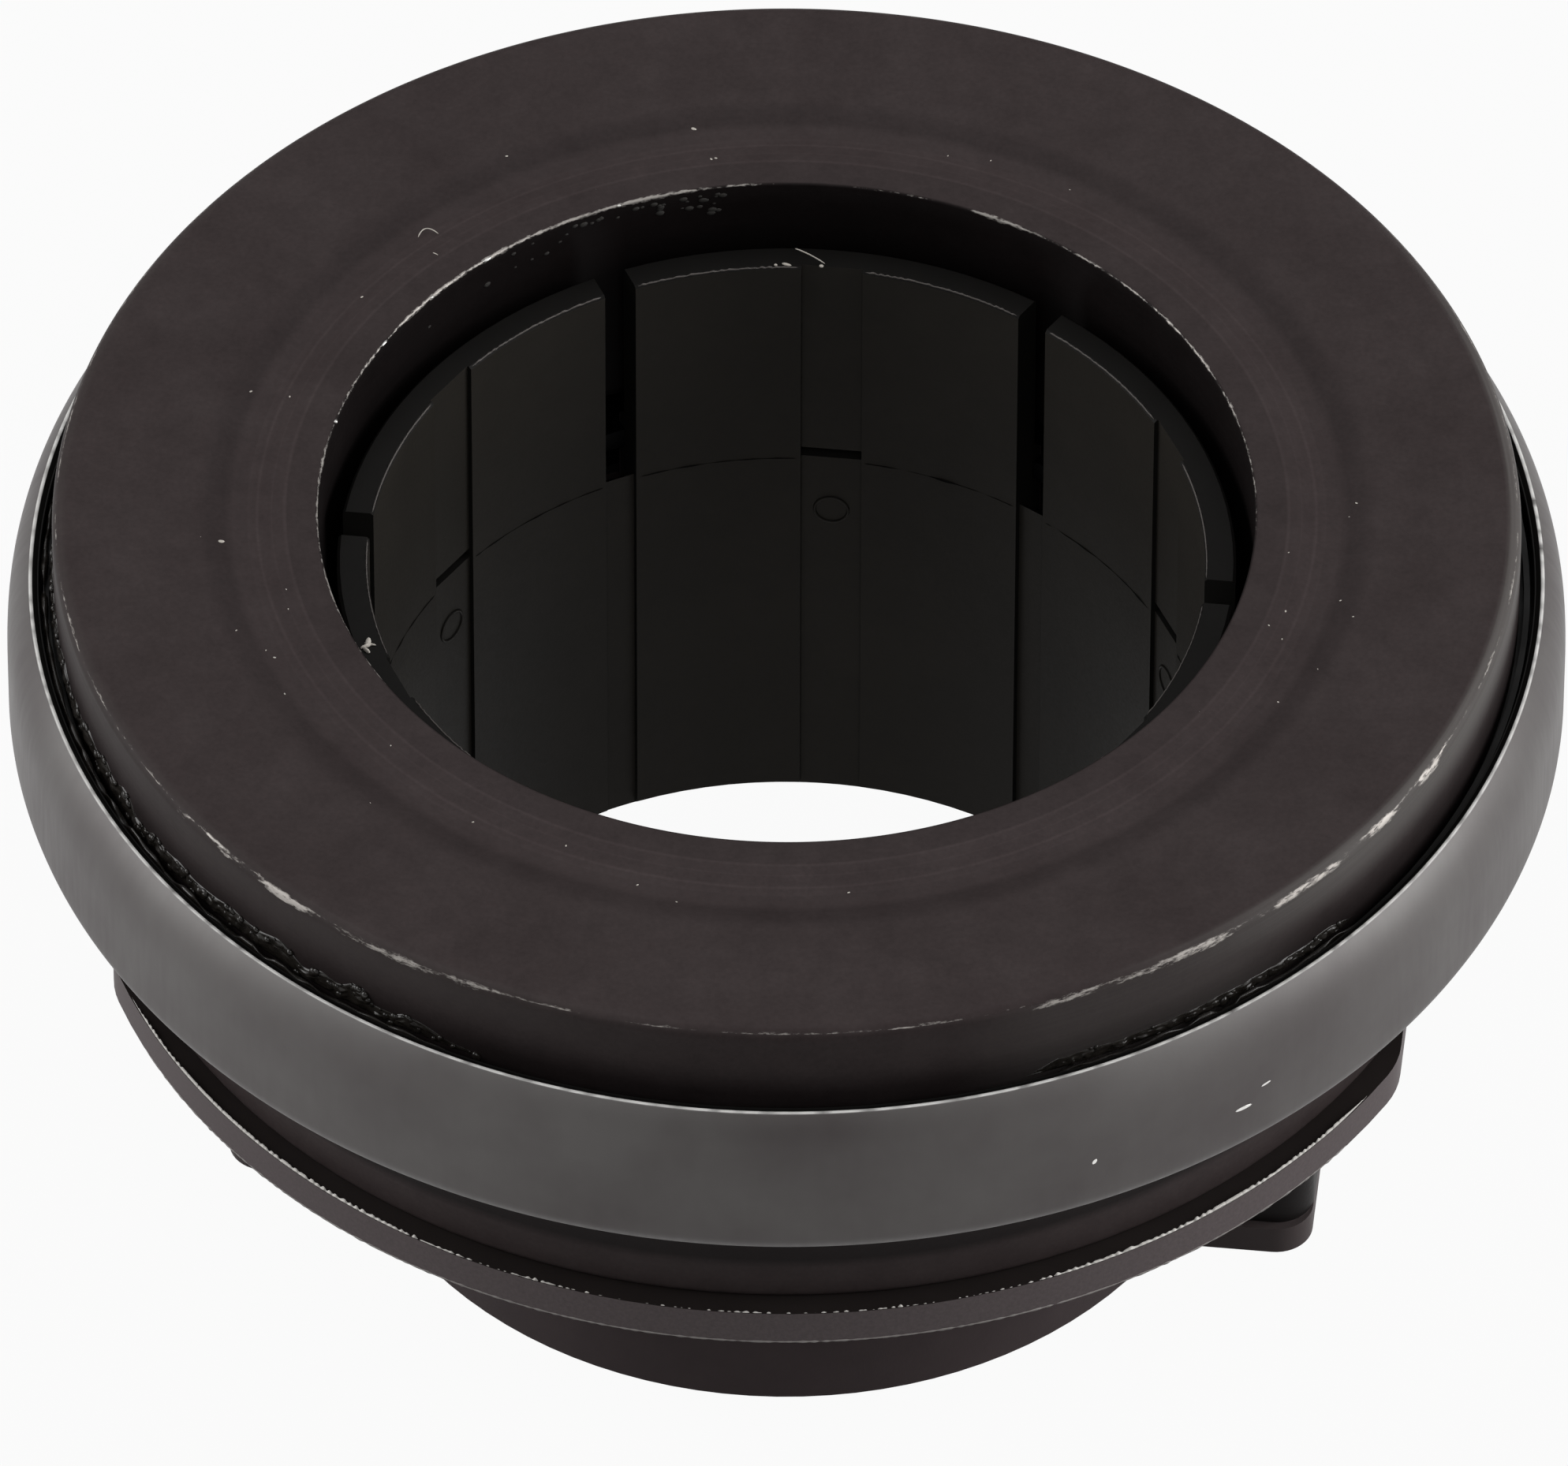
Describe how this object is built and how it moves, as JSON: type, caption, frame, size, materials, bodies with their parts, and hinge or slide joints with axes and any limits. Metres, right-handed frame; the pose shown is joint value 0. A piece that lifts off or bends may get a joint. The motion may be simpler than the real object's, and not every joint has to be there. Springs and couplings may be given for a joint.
{
  "type": "clutch release bearing",
  "caption": "Clutch release bearing with a flat turning thrust ring, a drawn steel cover and a slotted moulded sleeve that slides on a guide tube and is pushed by a fork.",
  "frame": {"origin": "on the bearing's axis, at the level of the fork lugs' feet", "axes": "+Z along the axis towards the thrust face; +X through one fork lug and flange flat"},
  "size_m": [0.0654, 0.0654, 0.0347],
  "materials": {
    "black_polyamide": "moulded, satin",
    "phosphated_steel": "black phosphate, satin",
    "cover_steel": "bare drawn sheet",
    "bearing_steel": "ground and polished",
    "cage_polyamide": "moulded, natural brown",
    "seal_rubber": "matt, greased",
    "slide_polymer": "smooth black acetal",
    "spring_steel": "oiled dark strip"
  },
  "bodies": {
    "sleeve": {"guide_sleeve": "black_polyamide", "wave_spring": "spring_steel", "retaining_ring": "spring_steel"},
    "slider": {"slide_washer": "slide_polymer"},
    "bearing": {"housing": "phosphated_steel", "cover": "cover_steel", "outer_race": "bearing_steel", "front_seal": "seal_rubber", "rear_seal": "seal_rubber"},
    "ring": {"thrust_ring": "phosphated_steel"},
    "cage": {"ball_cage": "cage_polyamide", "ball_01": "bearing_steel", "ball_02": "bearing_steel", "ball_03": "bearing_steel", "ball_04": "bearing_steel", "ball_05": "bearing_steel", "ball_06": "bearing_steel", "ball_07": "bearing_steel", "ball_08": "bearing_steel", "ball_09": "bearing_steel", "ball_10": "bearing_steel", "ball_11": "bearing_steel", "ball_12": "bearing_steel", "ball_13": "bearing_steel", "ball_14": "bearing_steel", "ball_15": "bearing_steel", "ball_16": "bearing_steel", "ball_17": "bearing_steel", "ball_18": "bearing_steel"}
  },
  "joints": [
    {"name": "float_x", "type": "slide", "parent": "sleeve", "child": "slider", "axis": [1, 0, 0], "range_m": [-0.00045, 0.00045]},
    {"name": "float_y", "type": "slide", "parent": "slider", "child": "bearing", "axis": [0, 1, 0], "range_m": [-0.00045, 0.00045]},
    {"name": "ring_spin", "type": "hinge", "parent": "bearing", "child": "ring", "pos_m": [0, 0, 0.0347], "axis": [0, 0, 1], "continuous": true},
    {"name": "cage_spin", "type": "hinge", "parent": "bearing", "child": "cage", "pos_m": [0, 0, 0.0295], "axis": [0, 0, 1], "continuous": true}
  ],
  "couplings": [
    {"joint": "cage_spin", "follows": "ring_spin", "ratio": 0.45383}
  ]
}
